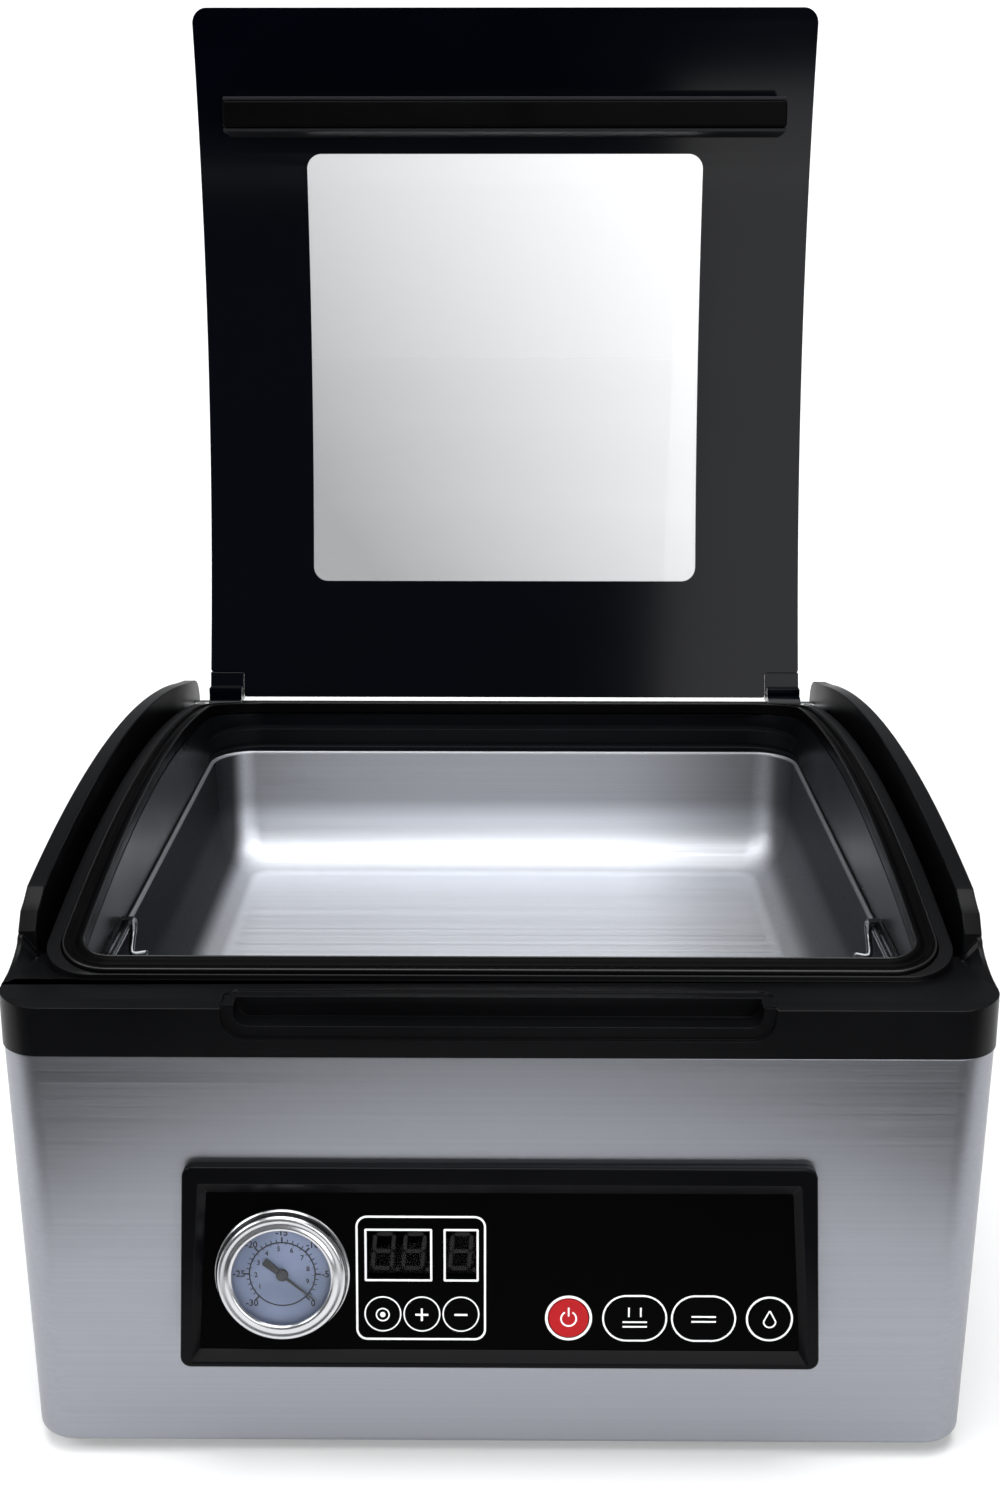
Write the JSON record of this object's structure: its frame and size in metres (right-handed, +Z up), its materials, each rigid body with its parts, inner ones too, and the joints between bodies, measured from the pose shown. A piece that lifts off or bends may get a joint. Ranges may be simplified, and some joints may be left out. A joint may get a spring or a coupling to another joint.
{
  "type": "chamber vacuum sealer",
  "caption": "Countertop chamber vacuum sealer: a steel body with a deep pan, seal bar, gauge and key panel, under a curved glass lid that stands open.",
  "frame": {"origin": "centre of the bounding box in plan, at table height under the feet", "axes": "+X to the right seen from the front, +Y to the back, +Z up; the control panel faces -Y"},
  "size_m": [0.365, 0.4688, 0.5637],
  "materials": {
    "aluminium": "machined",
    "board_green": "circuit board",
    "brushed_steel": "horizontal brushed grain",
    "cast_grey": "painted casting",
    "chrome": "polished",
    "clear_glass": "clear",
    "dial_blue": "printed pale blue",
    "gloss_black": "glossy",
    "hose_clear": "translucent silicone",
    "key_red": "satin red",
    "needle_black": "matte",
    "nichrome": "heating strip under its tape",
    "pan_steel": "satin drawn steel",
    "panel_black": "flat black film",
    "plated_steel": "zinc grey sheet and hardware",
    "rubber_black": "matte",
    "satin_black": "satin moulded",
    "smoked_window": "smoked",
    "winding": "laminated core with wrapped winding"
  },
  "bodies": {
    "body": {"outer_shell": "brushed_steel", "base_plate": "plated_steel", "foot_front_left": "rubber_black", "foot_front_right": "rubber_black", "foot_rear_left": "rubber_black", "foot_rear_right": "rubber_black", "rear_panel": "plated_steel", "top_frame": "satin_black", "rim_gasket": "rubber_black", "chamber_collar": "gloss_black", "chamber_pan": "pan_steel", "lift_cylinder_left": "aluminium", "lift_cylinder_right": "aluminium", "clip_bracket_left": "plated_steel", "clip_bracket_right": "plated_steel", "hinge_pin_left": "plated_steel", "hinge_pin_right": "plated_steel", "panel_bezel": "satin_black", "panel_face": "panel_black", "display_window": "smoked_window", "display_two_digits": "gloss_black", "display_one_digit": "gloss_black", "control_board": "board_green", "gauge_ring": "chrome", "gauge_lens": "clear_glass", "gauge_dial": "dial_blue", "gauge_case": "satin_black", "pump_motor": "cast_grey", "pump_head": "aluminium", "transformer": "winding", "solenoid_valve": "brushed_steel", "chamber_hose": "hose_clear", "pump_hose": "hose_clear", "fan_frame": "satin_black", "power_inlet": "satin_black", "switch_frame": "satin_black"},
    "lid": {"lid_glass": "clear_glass", "lid_border": "panel_black", "pressure_bar": "satin_black", "pressure_strip": "rubber_black", "hinge_block_left": "satin_black", "hinge_block_right": "satin_black"},
    "seal_lift": {"seal_bar_base": "satin_black", "seal_bar": "aluminium", "heating_strip": "nichrome", "lift_rod_left": "plated_steel", "lift_rod_right": "plated_steel"},
    "clip_left": {"bag_clip_left": "chrome"},
    "clip_right": {"bag_clip_right": "chrome"},
    "needle": {"gauge_needle": "needle_black"},
    "impeller": {"pump_impeller": "satin_black"},
    "fan": {"fan_rotor": "satin_black"},
    "rocker": {"power_switch": "key_red"},
    "key_set": {"key_set": "panel_black"},
    "key_plus": {"key_plus": "panel_black"},
    "key_minus": {"key_minus": "panel_black"},
    "key_cancel": {"key_cancel": "key_red"},
    "key_vacuum_and_seal": {"key_vacuum_and_seal": "panel_black"},
    "key_seal": {"key_seal": "panel_black"},
    "key_marinate": {"key_marinate": "panel_black"}
  },
  "joints": [
    {"name": "lid_hinge", "type": "hinge", "parent": "body", "child": "lid", "pos_m": [0, 0.17932, 0.1852], "axis": [1, 0, 0], "range_deg": [0, 94.6]},
    {"name": "seal_bar_lift", "type": "slide", "parent": "body", "child": "seal_lift", "axis": [0, 0, 1], "range_m": [0, 0.011]},
    {"name": "bag_clip_left_swing", "type": "hinge", "parent": "body", "child": "clip_left", "pos_m": [-0.1536, -0.16908, 0.176], "axis": [0, -1, 0], "range_deg": [0, 75]},
    {"name": "bag_clip_right_swing", "type": "hinge", "parent": "body", "child": "clip_right", "pos_m": [0.1536, -0.16908, 0.176], "axis": [0, 1, 0], "range_deg": [0, 75]},
    {"name": "key_set_press", "type": "slide", "parent": "body", "child": "key_set", "axis": [0, 0.9903, -0.1392], "range_m": [0, 0.0006], "stiffness_N_per_m": 400},
    {"name": "key_plus_press", "type": "slide", "parent": "body", "child": "key_plus", "axis": [0, 0.9903, -0.1392], "range_m": [0, 0.0006], "stiffness_N_per_m": 400},
    {"name": "key_minus_press", "type": "slide", "parent": "body", "child": "key_minus", "axis": [0, 0.9903, -0.1392], "range_m": [0, 0.0006], "stiffness_N_per_m": 400},
    {"name": "key_cancel_press", "type": "slide", "parent": "body", "child": "key_cancel", "axis": [0, 0.9903, -0.1392], "range_m": [0, 0.0006], "stiffness_N_per_m": 400},
    {"name": "key_vacuum_and_seal_press", "type": "slide", "parent": "body", "child": "key_vacuum_and_seal", "axis": [0, 0.9903, -0.1392], "range_m": [0, 0.0006], "stiffness_N_per_m": 400},
    {"name": "key_seal_press", "type": "slide", "parent": "body", "child": "key_seal", "axis": [0, 0.9903, -0.1392], "range_m": [0, 0.0006], "stiffness_N_per_m": 400},
    {"name": "key_marinate_press", "type": "slide", "parent": "body", "child": "key_marinate", "axis": [0, 0.9903, -0.1392], "range_m": [0, 0.0006], "stiffness_N_per_m": 400},
    {"name": "gauge_needle_swing", "type": "hinge", "parent": "body", "child": "needle", "pos_m": [-0.0793, -0.22817, 0.0846], "axis": [0, -0.9903, 0.1392], "range_deg": [0, 258], "stiffness_Nm_per_rad": 0.0002},
    {"name": "pump_impeller_spin", "type": "hinge", "parent": "body", "child": "impeller", "pos_m": [0, 0.03092, 0.052], "axis": [1, 0, 0], "continuous": true},
    {"name": "fan_spin", "type": "hinge", "parent": "body", "child": "fan", "pos_m": [-0.07, 0.19762, 0.074], "axis": [0, 1, 0], "continuous": true},
    {"name": "power_switch_rock", "type": "hinge", "parent": "body", "child": "rocker", "pos_m": [0.11, 0.19712, 0.084], "axis": [1, 0, 0], "range_deg": [0, 16]}
  ]
}
